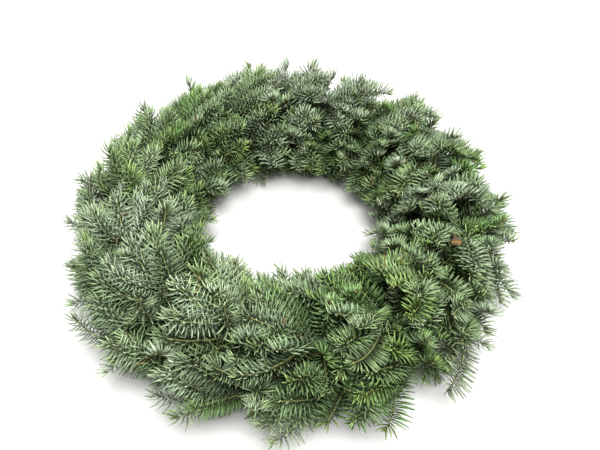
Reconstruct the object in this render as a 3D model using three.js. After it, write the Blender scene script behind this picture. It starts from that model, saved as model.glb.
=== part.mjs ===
// A fresh evergreen wreath: sprays of noble fir bound with wire on a steel ring, lying face up.
// Millimetres, +Z up, z = 0 is the surface it lies on. Seen from above the sprays lean clockwise.
import * as THREE from "three";
import { mergeVertices } from "three/addons/utils/BufferGeometryUtils.js";

// Driving dimensions
const RING_RADIUS = 208; // centre line of the ring and of the stems bound on it
const RING_HEIGHT = 36; // centre of the stem bundle above the surface
const FOLIAGE_HEIGHT = 62; // centre of the foliage's section above the surface
const TIP_REACH = 85; // twig tips from the section's centre, sideways
const TIP_RISE = 84; // twig tips from the section's centre, upwards
const FLOW_ADVANCE = 104; // how far along the ring a spray leans from stem to tip
const HOLE_RADIUS = 103; // no needle reaches further in than this
const STEEPNESS = 0.45; // how much steeper a shoot rises at its root than on average

// Stems, twigs and wire
const STATIONS = 16; // bunches round the ring, each of an outer, a top and an inner spray
const STEM_HELD = 60; // length of a stem that lies in the binding
const STEM_RADIUS = 3.2;
const STEM_OFFSET = 5.6; // stem's axis from the bundle's centre
const TWIG_RADIUS = 1.5; // where the needles stand
const LOWEST_TWIG = TWIG_RADIUS / 2; // a low twig lies on the surface, on one of its three sides
const WIRE_RADIUS = 0.6; // binding wire
const WIRE_SLACK = 0.5; // from the stems to the wire's corners
const WIRE_OFFSET = STEM_OFFSET + STEM_RADIUS + WIRE_RADIUS + WIRE_SLACK;
const WIRE_STEPS_A_TURN = 8;
const WIRE_START = 0.32; // where the first turn begins, as a share of a bunch's length
const RING_WIRE_RADIUS = 2;
const RING_SLACK = 0.8; // from the ring to the wire's corners; the straight wire between them is nearer
const RING_OFFSET = WIRE_OFFSET - WIRE_RADIUS - RING_WIRE_RADIUS - RING_SLACK;
const PITCH = (2 * Math.PI * RING_RADIUS) / STATIONS;

// Needles
const NEEDLE_LENGTH = 21;
const NEEDLE_BAND = 4.4; // length of twig that one round of needles stands on
const NEEDLE_LEANS = [68, 42]; // degrees from the twig, of the two needles on a side of a round
const NEEDLE_ROOM = 1.1; // kept free round a needle
const NEEDLE_RADIUS = NEEDLE_ROOM * 0.8; // what a needle that stands already takes up
const POINT_LENGTH = NEEDLE_LENGTH * 0.7; // a shoot's own point, past the end of its twig
const CLEARANCE = 0.45; // least gap between two shoots
const ROUND_TURN = 40; // degrees that each round of needles is turned from the one before
// Where a needle's room is measured, as shares of its length.
const NEEDLE_SPOTS = [0.05, 0.2, 0.35, 0.5, 0.65, 0.8, 0.9, 1];
// Places tried for a needle until one is clear: degrees less lean, and degrees to one side.
const NEEDLE_TRIES = [[0, 0], [10, 12], [10, -12], [20, 0], [0, 25], [0, -25], [24, 25], [24, -25]];

// How much a seeded draw varies a measure, to either side.
const VARY_REACH = 0.05; // share of a shoot's reach
const VARY_ANGLE = 5; // degrees round the section
const VARY_ALONG = 9; // millimetres along the ring
const VARY_NEEDLE = 0.12; // share of a needle's length
const VARY_LEAN = 7; // degrees

// The three places in a bunch: angles round the section in degrees, from outward, and the lag in bunch lengths.
const SLOTS = [
  { name: "outer", angle: 0, aim: -3, fan: 1.15, lag: 0 },
  { name: "top", angle: 90, aim: 88, fan: 1.1, lag: 0.25 },
  { name: "inner", angle: 180, aim: 178, fan: 1.1, lag: 0.5 },
];
// Where rounds of needles stand on the main shoot, as shares of its length.
const MAIN_ROUNDS = [0.28, 0.47, 0.65, 0.83, 1];
// Side shoots: the round and side of the main shoot they grow from, and how far round the section they turn.
const SIDE_SHOOTS = [
  { round: 0, side: 0, turn: 38, reach: 0.96, rounds: [0.3, 0.65, 1] },
  { round: 0, side: 2, turn: -38, reach: 0.96, rounds: [0.3, 0.65, 1] },
  { round: 1, side: 0, turn: 20, reach: 0.99, rounds: [0.42, 1] },
  { round: 1, side: 2, turn: -20, reach: 0.99, rounds: [0.42, 1] },
];
// Extra reach of each bunch's outer spray: the long ones stand out of the round outline.
const STRAYS = [0.04, 0.24, 0, 0.06, 0.12, 0.2, 0.06, 0.18, 0.06, 0, 0.05, 0, 0, 0.05, 0, 0.03];
// One branch has lost its leader: a thick bare shoot with a slanted cut, and its side shoots round it.
const PRUNED = { slot: "top", station: 0, turn: -10, rounds: [0.28, 0.47], end: 0.86, slant: 1.4 };
// Degrees that the corners of a round may turn back from the face that the shoot grows on.
const MAIN_TURN_BACK = 45;
const SIDE_TURN_BACK = 20;

const UP = new THREE.Vector3(0, 0, 1);
const radians = THREE.MathUtils.degToRad;

// A seeded draw from -1 to 1.
let seed = 514735;
function draw() {
  seed = (seed * 1664525 + 1013904223) % 4294967296;
  return (seed / 4294967296) * 2 - 1;
}

// A point of the ring's section: along the ring, out from its centre line, and up.
function place(along, out, up) {
  const turn = -along / RING_RADIUS;
  const r = RING_RADIUS + out;
  return new THREE.Vector3(r * Math.cos(turn), r * Math.sin(turn), up);
}

// A point between a slot of the bundle (share 0) and the foliage's surface (share 1).
function sprayPoint(slot, along, share, angle) {
  const from = radians(slot.angle);
  const out0 = STEM_OFFSET * Math.cos(from);
  const up0 = RING_HEIGHT + STEM_OFFSET * Math.sin(from);
  const out1 = TIP_REACH * Math.cos(radians(angle));
  const up1 = FOLIAGE_HEIGHT + TIP_RISE * Math.sin(radians(angle));
  const up = up0 + share * (up1 - up0);
  return place(along, out0 + share * (out1 - out0), Math.max(up, LOWEST_TWIG));
}

// A shoot rises steeply out of the bundle and lies flatter towards its tip.
const rise = (t) => t * (1 + STEEPNESS - STEEPNESS * t);

// One spray: the path of each of its shoots, the main shoot first. A path starts at 0 and ends at 1.
function sprayShoots(slot, station) {
  const leave = (station + slot.lag) * PITCH;
  const pruned = slot.name === PRUNED.slot && station === PRUNED.station;
  const reach = 1 + draw() * VARY_REACH + (slot.name === "outer" ? STRAYS[station] : 0);
  const aim = slot.aim + (pruned ? PRUNED.turn : 0) + draw() * VARY_ANGLE;
  const advance = FLOW_ADVANCE + draw() * VARY_ALONG;
  const bow = draw() * VARY_ANGLE;
  const main = (t) => {
    if (t < 0) return sprayPoint(slot, leave + t * STEM_HELD, 0, slot.angle);
    const angle = aim + bow * Math.sin(Math.PI * t);
    return sprayPoint(slot, leave + advance * t * reach, rise(t) * reach, angle);
  };
  const sides = SIDE_SHOOTS.map((side) => {
    const root = MAIN_ROUNDS[side.round];
    const turn = (side.turn + draw() * VARY_ANGLE) * slot.fan;
    const tip = side.reach * reach * (1 + draw() * VARY_REACH);
    const lag = draw() * VARY_ALONG;
    const start = rise(root) * reach;
    const startAngle = aim + bow * Math.sin(Math.PI * root);
    const path = (t) => {
      const along = leave + advance * (root * reach + (tip - root * reach) * t) + lag * t;
      const angle = startAngle + (aim - startAngle) * t + turn * Math.sin((Math.PI / 2) * t);
      return sprayPoint(slot, along, start + (tip - start) * rise(t), angle);
    };
    return { ...side, path };
  });
  return { path: main, rounds: pruned ? PRUNED.rounds : MAIN_ROUNDS, sides, pruned };
}

// The frame of a path at one spot: outward is away from the bundle, or up where the twig lies on the surface.
function frameAt(path, t) {
  const point = path(t);
  const along = path(t + 0.01).sub(path(t - 0.01)).normalize();
  const turn = Math.atan2(point.y, point.x);
  const bundle = new THREE.Vector3(RING_RADIUS * Math.cos(turn), RING_RADIUS * Math.sin(turn), RING_HEIGHT);
  const lies = point.z <= LOWEST_TWIG;
  const out = lies ? UP.clone() : point.clone().sub(bundle);
  out.addScaledVector(along, -out.dot(along)).normalize();
  return { point, along, out, across: new THREE.Vector3().crossVectors(along, out), lies };
}

// A three-sided ring of corners square to a path. None is below the surface.
function ringAt(path, t, radius, phase) {
  const frame = frameAt(path, t);
  const corners = [0, 120, 240].map((angle) => {
    const turn = radians(angle + (frame.lies ? 0 : phase));
    const corner = frame.point
      .clone()
      .addScaledVector(frame.out, radius * Math.cos(turn))
      .addScaledVector(frame.across, radius * Math.sin(turn));
    corner.z = Math.max(corner.z, 0);
    return corner;
  });
  return { ...frame, corners };
}

// The two close rings that each round of needles stands between.
function roundRings({ path, rounds, pruned }) {
  const half = NEEDLE_BAND / 2 / path(0).distanceTo(path(1));
  const radius = pruned ? STEM_RADIUS : TWIG_RADIUS;
  return rounds.map((t, i) => {
    const middle = Math.min(t, 1 - half);
    const phase = ROUND_TURN * Math.max(i - 1, 0);
    return [ringAt(path, middle - half, radius, phase), ringAt(path, middle + half, radius, phase)];
  });
}

// Stretches of twig and needle already taken, each with the shoot that it belongs to.
const twigs = [];
const needles = [];
function take(list, owner, from, to, radius) {
  const middle = from.clone().add(to).multiplyScalar(0.5);
  list.push({ owner, line: new THREE.Line3(from, to), radius, middle, half: from.distanceTo(to) / 2 });
}

// Whether a needle keeps the hole free and stays clear of other shoots, and of its own shoot's needles.
function isClear(owner, root, tip) {
  if (Math.hypot(tip.x, tip.y) < HOLE_RADIUS) return false;
  const spots = NEEDLE_SPOTS.map((t) => root.clone().lerp(tip, t));
  const nearest = new THREE.Vector3();
  const isFar = (other, least, from) =>
    other.middle.distanceTo(spots[3]) > other.half + NEEDLE_LENGTH ||
    spots.slice(from).every((spot) => {
      return other.line.closestPointToPoint(spot, true, nearest).distanceTo(spot) > least;
    });
  const isPastOther = (other) => isFar(other, other.radius + NEEDLE_ROOM + CLEARANCE, 0);
  const isPastOwn = (other) => isFar(other, NEEDLE_ROOM, 2);
  return (
    twigs.every((other) => other.owner === owner || isPastOther(other)) &&
    needles.every((other) => (other.owner === owner ? isPastOwn(other) : isPastOther(other)))
  );
}

// The tip of a needle that stands on one face of a twig, or nothing where no place for it is clear.
function needleTip(owner, face, ring, lean) {
  const root = face[0].clone().add(face[1]).add(face[2]).divideScalar(3);
  if (owner.pruned || root.z < LOWEST_TWIG) return null;
  const out = root.clone().sub(ring.point);
  out.addScaledVector(ring.along, -out.dot(ring.along)).normalize();
  const across = new THREE.Vector3().crossVectors(ring.along, out);
  const length = NEEDLE_LENGTH * (1 + draw() * VARY_NEEDLE);
  const ownLean = lean + draw() * VARY_LEAN;
  for (const [less, turn] of NEEDLE_TRIES) {
    const angle = radians(ownLean - less);
    const tip = root
      .clone()
      .addScaledVector(ring.along, length * Math.cos(angle))
      .addScaledVector(out, length * Math.sin(angle) * Math.cos(radians(turn)))
      .addScaledVector(across, length * Math.sin(angle) * Math.sin(radians(turn)));
    const onSurface = tip.z < LOWEST_TWIG && root.z < 2 * TWIG_RADIUS;
    tip.z = Math.max(tip.z, LOWEST_TWIG);
    if (onSurface || !isClear(owner, root, tip)) continue;
    take(needles, owner, root, tip, NEEDLE_RADIUS);
    return tip;
  }
  return null;
}

// The four-cornered walls between two rings of three corners.
const walls = (base, top) => base.map((corner, i) => [corner, base[(i + 1) % 3], top[i], top[(i + 1) % 3]]);

// How far a ring's corner is turned from a base's first corner, in degrees.
function twist(base, ring, index) {
  const centre = base[0].clone().add(base[1]).add(base[2]).divideScalar(3);
  const angles = [base[0].clone().sub(centre), ring.corners[index].clone().sub(ring.point)].map((way) =>
    Math.atan2(way.dot(ring.across), way.dot(ring.out)),
  );
  return THREE.MathUtils.radToDeg(angles[1] - angles[0]);
}

// The rings of one round, their corners numbered so that the walls up to them turn by a third of a turn at most,
// and backwards by less than the given number of degrees.
function lineUp(base, round, back) {
  const first = [0, 1, 2].find((index) => {
    return THREE.MathUtils.euclideanModulo(twist(base, round[0], index) + back, 360) < 120;
  });
  return round.map(({ corners, ...frame }) => {
    return { ...frame, corners: [...corners, ...corners].slice(first, first + 3) };
  });
}

// The point of a shoot, past the end of its twig.
function pointOf({ path }) {
  const end = frameAt(path, 1);
  const tip = end.point.addScaledVector(end.along, POINT_LENGTH);
  tip.z = Math.max(tip.z, LOWEST_TWIG);
  return tip;
}

// The slanted cut that ends a pruned shoot, its upper corner furthest back.
function cutFace({ path }) {
  const ring = ringAt(path, PRUNED.end, STEM_RADIUS, 0);
  const back = [-1, 0.5, 0.5].map((share) => share * PRUNED.slant * STEM_RADIUS);
  return ring.corners.map((corner, i) => corner.addScaledVector(ring.along, back[i]));
}

// A shoot as faces: a three-sided twig from its base corners, with needles and side shoots raised from its faces.
function growShoot(shoot, base) {
  const faces = [];
  let lower = base;
  roundRings(shoot).forEach((round, index) => {
    const [start, end] = lineUp(lower, round, shoot.sides ? MAIN_TURN_BACK : SIDE_TURN_BACK);
    for (const [a, b, c, d] of walls(lower, start.corners)) faces.push([a, b, c], [b, d, c]);
    walls(start.corners, end.corners).forEach(([a, b, c, d], side) => {
      const branch = shoot.sides?.find((grown) => grown.round === index && grown.side === side);
      const isBare = side === index % 3;
      if (branch) faces.push(...growShoot(branch, [a, b, c]));
      else faces.push(...raise([a, b, c], needleTip(shoot, [a, b, c], start, NEEDLE_LEANS[0])));
      faces.push(...raise([b, d, c], isBare ? null : needleTip(shoot, [b, d, c], start, NEEDLE_LEANS[1])));
    });
    lower = end.corners;
  });
  if (!shoot.pruned) return [...faces, ...raise(lower, pointOf(shoot))];
  const cut = cutFace(shoot);
  for (const [a, b, c, d] of walls(lower, cut)) faces.push([a, b, c], [b, d, c]);
  return [...faces, cut];
}

// A face with a point raised from it, or the bare face.
function raise(face, tip) {
  return tip ? face.map((corner, i) => [corner, face[(i + 1) % 3], tip]) : [face];
}

// A spray as one closed mesh: its stem's cut end, the stem in the binding, and the shoots that grow from it.
function sprayGeometry(main) {
  const [cut, held, leaving] = [-1, -0.5, 0].map((t) => ringAt(main.path, t, STEM_RADIUS, 0).corners);
  const faces = [[...cut].reverse()];
  for (const [lower, upper] of [[cut, held], [held, leaving]])
    for (const [a, b, c, d] of walls(lower, upper)) faces.push([a, b, c], [b, d, c]);
  faces.push(...growShoot(main, leaving));
  return mergeVertices(new THREE.BufferGeometry().setFromPoints(faces.flat()), 1e-4);
}

// The binding wire: one turn round ring and stems for each bunch, its two ends a step apart.
const WIRE_STEPS = STATIONS * WIRE_STEPS_A_TURN - 1;
class Binding extends THREE.Curve {
  getPoint(t) {
    const turns = (t * WIRE_STEPS) / WIRE_STEPS_A_TURN;
    const out = WIRE_OFFSET * Math.cos(2 * Math.PI * turns);
    const up = WIRE_OFFSET * Math.sin(2 * Math.PI * turns);
    return place(PITCH * (turns - WIRE_START), out, RING_HEIGHT + up);
  }
  getUtoTmapping(u) {
    return u; // even steps of an eighth of a turn, so that a corner lies over each stem
  }
}

function bindingWire() {
  const corners = [90, 210, 330].map((angle) => {
    return new THREE.Vector2(Math.cos(radians(angle)), Math.sin(radians(angle))).multiplyScalar(WIRE_RADIUS);
  });
  const path = new Binding();
  return new THREE.ExtrudeGeometry(new THREE.Shape(corners), { steps: WIRE_STEPS, extrudePath: path });
}

const foliage = new THREE.MeshStandardMaterial({ color: 0x6c8464, roughness: 0.6, metalness: 0 });
const steel = new THREE.MeshStandardMaterial({ color: 0x2f4a36, roughness: 0.45, metalness: 0.4 });
const wreath = new THREE.Group();

function add(name, geometry, material) {
  const mesh = new THREE.Mesh(geometry, material);
  mesh.name = name;
  wreath.add(mesh);
  return mesh;
}

const ring = add("wire_ring", new THREE.TorusGeometry(RING_RADIUS, RING_WIRE_RADIUS, 6, 40), steel);
ring.position.z = RING_HEIGHT - RING_OFFSET;
add("binding_wire", bindingWire(), steel);

const sprays = [];
for (let station = 0; station < STATIONS; station++) {
  for (const slot of SLOTS) {
    const number = String(station + 1).padStart(2, "0");
    sprays.push({ name: "spray_" + number + "_" + slot.name, main: sprayShoots(slot, station) });
  }
}
// Every twig's place is taken before the first needle grows.
for (const { main } of sprays) {
  take(twigs, main, main.path(-1), main.path(-0.5), STEM_RADIUS);
  take(twigs, main, main.path(-0.5), main.path(0), STEM_RADIUS);
  for (const shoot of [main, ...main.sides]) {
    const radius = shoot.pruned ? STEM_RADIUS : TWIG_RADIUS;
    const spots = [0, 0.2, 0.4, 0.6, 0.8, 1].map(shoot.path);
    spots.slice(1).forEach((to, i) => take(twigs, shoot, spots[i], to, radius));
    if (!shoot.pruned) take(needles, shoot, shoot.path(1), pointOf(shoot), NEEDLE_RADIUS);
  }
}
for (const { name, main } of sprays) add(name, sprayGeometry(main), foliage);

// The origin is under the middle of the whole wreath.
const box = new THREE.Box3().setFromObject(wreath);
const middle = box.getCenter(new THREE.Vector3());
wreath.position.set(-middle.x, -middle.y, -box.min.z);

export default wreath;
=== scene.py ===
# %% [markdown]
# # A fresh noble fir wreath
# The real thing is made of cut fir branches, laid in bunches round a steel ring and bound with wire.
# Its look comes from one small shape, the needle, repeated tens of thousands of times by a simple rule.
# So this lesson plans only the twigs in plain Python, and lets Geometry Nodes grow the needles on them.

# %% Load the frame
import math

import bpy
from mathutils import Matrix, Vector


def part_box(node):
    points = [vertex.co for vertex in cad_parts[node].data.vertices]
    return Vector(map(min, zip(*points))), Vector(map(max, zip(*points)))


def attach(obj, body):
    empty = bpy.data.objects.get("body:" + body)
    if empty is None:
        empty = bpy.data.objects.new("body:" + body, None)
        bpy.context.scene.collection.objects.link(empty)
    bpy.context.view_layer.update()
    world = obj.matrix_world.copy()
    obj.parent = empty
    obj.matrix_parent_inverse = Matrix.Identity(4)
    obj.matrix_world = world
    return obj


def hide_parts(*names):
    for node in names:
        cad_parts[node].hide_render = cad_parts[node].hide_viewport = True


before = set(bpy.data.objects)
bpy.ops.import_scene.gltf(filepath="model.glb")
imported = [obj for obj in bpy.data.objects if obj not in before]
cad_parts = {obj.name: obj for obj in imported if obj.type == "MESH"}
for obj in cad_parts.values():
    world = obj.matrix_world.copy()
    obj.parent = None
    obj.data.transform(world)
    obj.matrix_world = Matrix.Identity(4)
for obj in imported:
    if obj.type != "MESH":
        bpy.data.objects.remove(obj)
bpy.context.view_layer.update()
MM = 0.001

# %% [markdown]
# ## The camera
# The photograph looks down on the wreath from the front, from about arm's length, with a phone's wide view.
# A near camera matters: it makes the front of the ring look half as broad again as the back.
# The small shift moves the picture on the sensor and leaves the perspective alone.

# %% The camera
ELEVATION = math.radians(51.7)
DISTANCE = 0.786  # metres, from the ring's middle
IMAGE_SIZE = (600, 450)
FOCAL_PIXELS = 520
SHIFT_PIXELS = (-10, 17.6)  # how far the picture lies right of and below the middle
SENSOR_WIDTH = 36  # millimetres

ring_low, ring_high = (Vector(corner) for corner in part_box("wire_ring"))
RING_CENTRE = (ring_low + ring_high) / 2


def aim_at(point, position):
    """The placing of a camera or light at a position that looks at a point."""
    turn = (point - position).to_track_quat("-Z", "Y")
    return Matrix.LocRotScale(position, turn, None)


camera_data = bpy.data.cameras.new("camera")
camera_data.sensor_width = SENSOR_WIDTH
camera_data.lens = FOCAL_PIXELS / IMAGE_SIZE[0] * SENSOR_WIDTH
camera_data.shift_x = -SHIFT_PIXELS[0] / IMAGE_SIZE[0]
camera_data.shift_y = SHIFT_PIXELS[1] / IMAGE_SIZE[0]
camera_data.clip_start = 0.01
camera = bpy.data.objects.new("camera", camera_data)
bpy.context.scene.collection.objects.link(camera)
bpy.context.scene.camera = camera
floor_centre = Vector((RING_CENTRE.x, RING_CENTRE.y, 0))
towards_camera = Vector((0, -math.cos(ELEVATION), math.sin(ELEVATION)))
camera.matrix_world = aim_at(floor_centre, floor_centre + towards_camera * DISTANCE)
print("camera: %.1f mm lens, %.0f mm away" % (camera_data.lens, DISTANCE / MM))

# %% [markdown]
# ## Helpers for nodes
# A tree of nodes can be built with a function for each kind of node, but a reader then has many to learn.
# Here every node is added by the same small function, so that a tree reads as a list of steps.
# Colours are written as sRGB hex, as a paint picker gives them, and the renderer wants them linear.

# %% Helpers for nodes and colours
MATH = "ShaderNodeMath"
VECTOR = "ShaderNodeVectorMath"
RANGE = "ShaderNodeMapRange"
MIX = "ShaderNodeMix"
COLOURS = {"data_type": "RGBA"}
NUMBERS = {"data_type": "FLOAT"}


def feed(tree, node, inputs):
    """Fill a node's inputs, by name or in their order, with values, sockets or other nodes."""
    sockets = [socket for socket in node.inputs if socket.enabled]
    keyed = inputs if isinstance(inputs, dict) else dict(enumerate(inputs))
    for key, value in keyed.items():
        socket = sockets[key] if isinstance(key, int) else next(s for s in sockets if s.name == key)
        if isinstance(value, bpy.types.Node):
            value = next(output for output in value.outputs if output.enabled)
        if isinstance(value, bpy.types.NodeSocket):
            tree.links.new(value, socket)
        else:
            socket.default_value = value


def add(tree, kind, settings=None, inputs=()):
    """Add a node. Its settings are named, or are one word, which is its operation."""
    made = tree.nodes.new(kind)
    named = {"operation": settings} if isinstance(settings, str) else settings or {}
    for name, value in named.items():
        setattr(made, name, value)
    feed(tree, made, inputs)
    return made


def new_tree(name, takes, gives):
    """A tree of Geometry Nodes with named inputs and one output, and what its inputs give."""
    tree = bpy.data.node_groups.new(name, "GeometryNodeTree")
    for label, kind in takes.items():
        tree.interface.new_socket(label, in_out="INPUT", socket_type="NodeSocket" + kind)
    tree.interface.new_socket(gives, in_out="OUTPUT", socket_type="NodeSocketGeometry")
    return tree, add(tree, "NodeGroupInput").outputs


def new_material(name):
    """A node material with its shader and output, and nothing else yet."""
    made = bpy.data.materials.new(name)
    made.use_nodes = True
    tree = made.node_tree
    tree.nodes.clear()
    shader = add(tree, "ShaderNodeBsdfPrincipled")
    add(tree, "ShaderNodeOutputMaterial", None, {"Surface": shader})
    return made, tree, shader


def linear(hex_colour):
    """An sRGB hex colour as the linear RGBA that the shaders read."""
    parts = [int(hex_colour[i : i + 2], 16) / 255 for i in (1, 3, 5)]
    return [c / 12.92 if c <= 0.04045 else ((c + 0.055) / 1.055) ** 2.4 for c in parts] + [1]


print("mid grey is", round(linear("#808080")[0], 3), "in linear light")

# %% [markdown]
# ## Helpers for meshes
# Twigs, needles and wires are all planned in millimetres, as such small things are measured.
# A mesh can carry a number or a direction with each of its points, and nodes can read these by name.
# That is how the plan below tells the nodes what to grow where.

# %% Helpers for meshes


def new_mesh(name, points, edges=(), faces=(), origin=Vector()):
    """A mesh of points in millimetres, counted from an origin in metres."""
    mesh = bpy.data.meshes.new(name)
    mesh.from_pydata([Vector(point) * MM + origin for point in points], edges, faces)
    return mesh


def store(mesh, label, values):
    """Keep a number or a direction with each point of a mesh."""
    kind, field = ("FLOAT_VECTOR", "vector") if isinstance(values[0], Vector) else ("FLOAT", "value")
    layer = mesh.attributes.new(label, kind, "POINT")
    for item, value in zip(layer.data, values):
        setattr(item, field, value)


def tube_faces(rings, sides):
    """The faces between rings of corners that follow each other."""
    faces = []
    for ring in range(rings - 1):
        for i in range(sides):
            a, b = ring * sides + i, ring * sides + (i + 1) % sides
            faces.append((a, b, b + sides, a + sides))
    return faces


def triangles(mesh):
    """How many triangles a mesh comes to."""
    return sum(len(face.vertices) - 2 for face in mesh.polygons)


def new_object(name, mesh):
    """An object at the origin that holds a mesh."""
    made = bpy.data.objects.new(name, mesh)
    bpy.context.scene.collection.objects.link(made)
    return made


print("a tube of 3 rings and 5 sides has", len(tube_faces(3, 5)), "faces")

# %% [markdown]
# ## Where the twigs run
# A maker lays three sprays to a bunch, outwards, on top and inwards, and binds bunch over bunch.
# The frame's solids hold the real places of the stems, so the same rule is repeated here.
# A point of the foliage is given by its place along the ring and by an angle round the ring's section.
# A spray leaves the binding at share 0 and ends in the foliage's surface at share 1.

# %% The wreath's own sizes, in millimetres
RING_WIRE_RADIUS = 2
RING_RADIUS = (ring_high.x - ring_low.x) / 2 / MM - RING_WIRE_RADIUS
RING_HEIGHT = 36  # centre of the stem bundle above the surface
FOLIAGE_HEIGHT = 62  # centre of the foliage's section above the surface
TIP_REACH = 85  # twig tips from the section's centre, sideways
TIP_RISE = 84  # twig tips from the section's centre, upwards
FLOW_ADVANCE = 104  # how far along the ring a spray leans from stem to tip
STEEPNESS = 0.45  # how much steeper a shoot rises at its root than on average
STATIONS = 16  # bunches round the ring
PITCH = 2 * math.pi * RING_RADIUS / STATIONS
STEM_HELD = 60  # how much of a stem lies in the binding
STEM_RADIUS = 3.2
STEM_OFFSET = 5.6  # a stem's middle from the bundle's
LOWEST_TWIG = 0.75  # above the surface
VARY_REACH = 0.05  # how much the solids' shoots differ: as a share, in degrees and in millimetres
VARY_ANGLE = 5
VARY_ALONG = 9
# Where a stem lies in the bundle and where its spray aims, in degrees, how wide it fans, and how far behind
# its bunch it is laid, in bunches.
SLOTS = [
    {"name": "outer", "angle": 0, "aim": -3, "fan": 1.15, "lag": 0},
    {"name": "top", "angle": 90, "aim": 88, "fan": 1.1, "lag": 0.25},
    {"name": "inner", "angle": 180, "aim": 178, "fan": 1.1, "lag": 0.5},
]
SIDE_SHOOTS = [  # where it leaves the main shoot, its turn in degrees, and its reach
    (0.28, 38, 0.96),
    (0.28, -38, 0.96),
    (0.47, 20, 0.99),
    (0.47, -20, 0.99),
]
# How much further the outer spray of each bunch reaches, as a share.
STRAYS = [0.04, 0.24, 0, 0.06, 0.12, 0.2, 0.06, 0.18, 0.06, 0, 0.05, 0, 0, 0.05, 0, 0.03]
SIDE_TRIM = 0.18  # how much less the inner shoots reach into the hole at its left and right
SIDE_TRIM_TURN = math.radians(30)  # from those sides to where they are shortest
# The spray that lost its leader, how far it is turned, in degrees, and the share of it that is left.
PRUNED = {"slot": "top", "station": 0, "turn": -10, "end": 0.86}
print("ring radius %.1f mm, centre %s" % (RING_RADIUS, tuple(round(c, 4) for c in RING_CENTRE)))

# %% [markdown]
# ## Chance, and a place in the foliage
# No two branches are alike, yet the wreath has to come out the same each time that it is made.
# Python's own random numbers would do, but a rule of one line is the same in every version and language.
# The sprays' own draws stay in step with the solids, so whatever only the dressed wreath has draws apart.

# %% A seeded draw and the places it gives


def seeded(seed):
    """A function that gives numbers from -1 to 1, the same in each run."""
    state = [seed]

    def draw():
        state[0] = (state[0] * 1664525 + 1013904223) % 4294967296
        return state[0] / 4294967296 * 2 - 1

    return draw


draw = seeded(514735)  # for the shoots of the solids
vary = seeded(2024)  # for the shoots that only the dressed wreath has, and for all foliage
infill = seeded(88)  # for the shoots underneath


def place(along, out, up):
    """A point of the ring's section, in millimetres from the ring's centre on the floor."""
    turn = -along / RING_RADIUS
    r = RING_RADIUS + out
    return Vector((r * math.cos(turn), r * math.sin(turn), up))


def spray_point(slot, along, share, angle):
    """A point between a slot of the bundle (share 0) and the foliage's surface (share 1)."""
    start = math.radians(slot["angle"])
    out0 = STEM_OFFSET * math.cos(start)
    up0 = RING_HEIGHT + STEM_OFFSET * math.sin(start)
    out1 = TIP_REACH * math.cos(math.radians(angle))
    up1 = FOLIAGE_HEIGHT + TIP_RISE * math.sin(math.radians(angle))
    up = up0 + share * (up1 - up0)
    return place(along, out0 + share * (out1 - out0), max(up, LOWEST_TWIG))


def rise(t, steep=STEEPNESS):
    """A shoot rises steeply out of the bundle and lies flatter towards its tip, or the other way round."""
    return t * (1 + steep - steep * t)


print("a top spray ends", round(spray_point(SLOTS[1], 0, 1, SLOTS[1]["aim"]).z), "mm above the surface")

# %% [markdown]
# ## The shoots of a spray
# A fir branch grows flat: a main shoot, and side shoots in pairs that are shorter towards its end.
# Each shoot is a path, a small function that turns a share of the length into a point.
# A drawn curve would do for one spray, but 48 different ones are easier to grow from a rule.

# %% The paths of a spray's own shoots
STEPS = 8  # straight pieces in a shoot
SIDE_SHARE = 0.95  # the solids' side shoots end a little lower, so that those between them show
STRAY_SHARE = 0.25  # how much of a stray branch's extra reach its side shoots have


def side_path(slot, spray, root, turn, advance_to, tip, lag=0, steep=STEEPNESS, bow=0):
    """The path of a side shoot that leaves the main shoot at a share of its length."""
    reach = spray["reach"]
    start = rise(root) * reach
    start_angle = spray["aim"] + spray["bow"] * math.sin(math.pi * root)

    def path(t):
        advanced = root * reach + (advance_to - root * reach) * t
        along = spray["leave"] + spray["advance"] * advanced + lag * t
        angle = start_angle + (spray["aim"] - start_angle) * t + turn * math.sin(math.pi / 2 * t)
        angle += bow * math.sin(math.pi * t)
        return spray_point(slot, along, start + (tip - start) * rise(t, steep), angle)

    return path


def plan_spray(slot, station):
    """The draws and paths of one spray, in the order that the solids have them."""
    pruned = slot["name"] == PRUNED["slot"] and station == PRUNED["station"]
    spray = {"slot": slot, "pruned": pruned, "leave": (station + slot["lag"]) * PITCH}
    spray["reach"] = 1 + draw() * VARY_REACH + (STRAYS[station] if slot["name"] == "outer" else 0)
    if slot["name"] == "inner":
        sideways = math.cos(spray["leave"] / RING_RADIUS + SIDE_TRIM_TURN)
        spray["reach"] *= 1 - SIDE_TRIM * sideways ** 2
    spray["side_reach"] = 1 + (spray["reach"] - 1) * STRAY_SHARE
    spray["aim"] = slot["aim"] + (PRUNED["turn"] if pruned else 0) + draw() * VARY_ANGLE
    spray["advance"] = FLOW_ADVANCE + draw() * VARY_ALONG
    spray["bow"] = draw() * VARY_ANGLE

    def main(t):
        if t < 0:
            return spray_point(slot, spray["leave"] + t * STEM_HELD, 0, slot["angle"])
        angle = spray["aim"] + spray["bow"] * math.sin(math.pi * t)
        along = spray["leave"] + spray["advance"] * t * spray["reach"]
        return spray_point(slot, along, rise(t) * spray["reach"], angle)

    spray["main"] = main
    spray["sides"] = []
    for root, turn, reach in SIDE_SHOOTS:
        turn = (turn + draw() * VARY_ANGLE) * slot["fan"]
        tip = SIDE_SHARE * reach * spray["side_reach"] * (1 + draw() * VARY_REACH)
        lag = draw() * VARY_ALONG
        spray["sides"].append((side_path(slot, spray, root, turn, tip, tip, lag), 0))
    return spray


sprays = {}
for station in range(STATIONS):
    for slot in SLOTS:
        sprays["spray_%02d_%s" % (station + 1, slot["name"])] = plan_spray(slot, station)
print("planned", len(sprays), "sprays")

# %% [markdown]
# ## Room in front of the cut
# One branch ends in a fresh cut that faces the viewer. On the real wreath nothing grows in front of it.
# Its line of sight is a short line that goes out from the cut, and shoots too near to that are left out.
# Moving them aside would do as well, but leaving them out is what secateurs do.

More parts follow.
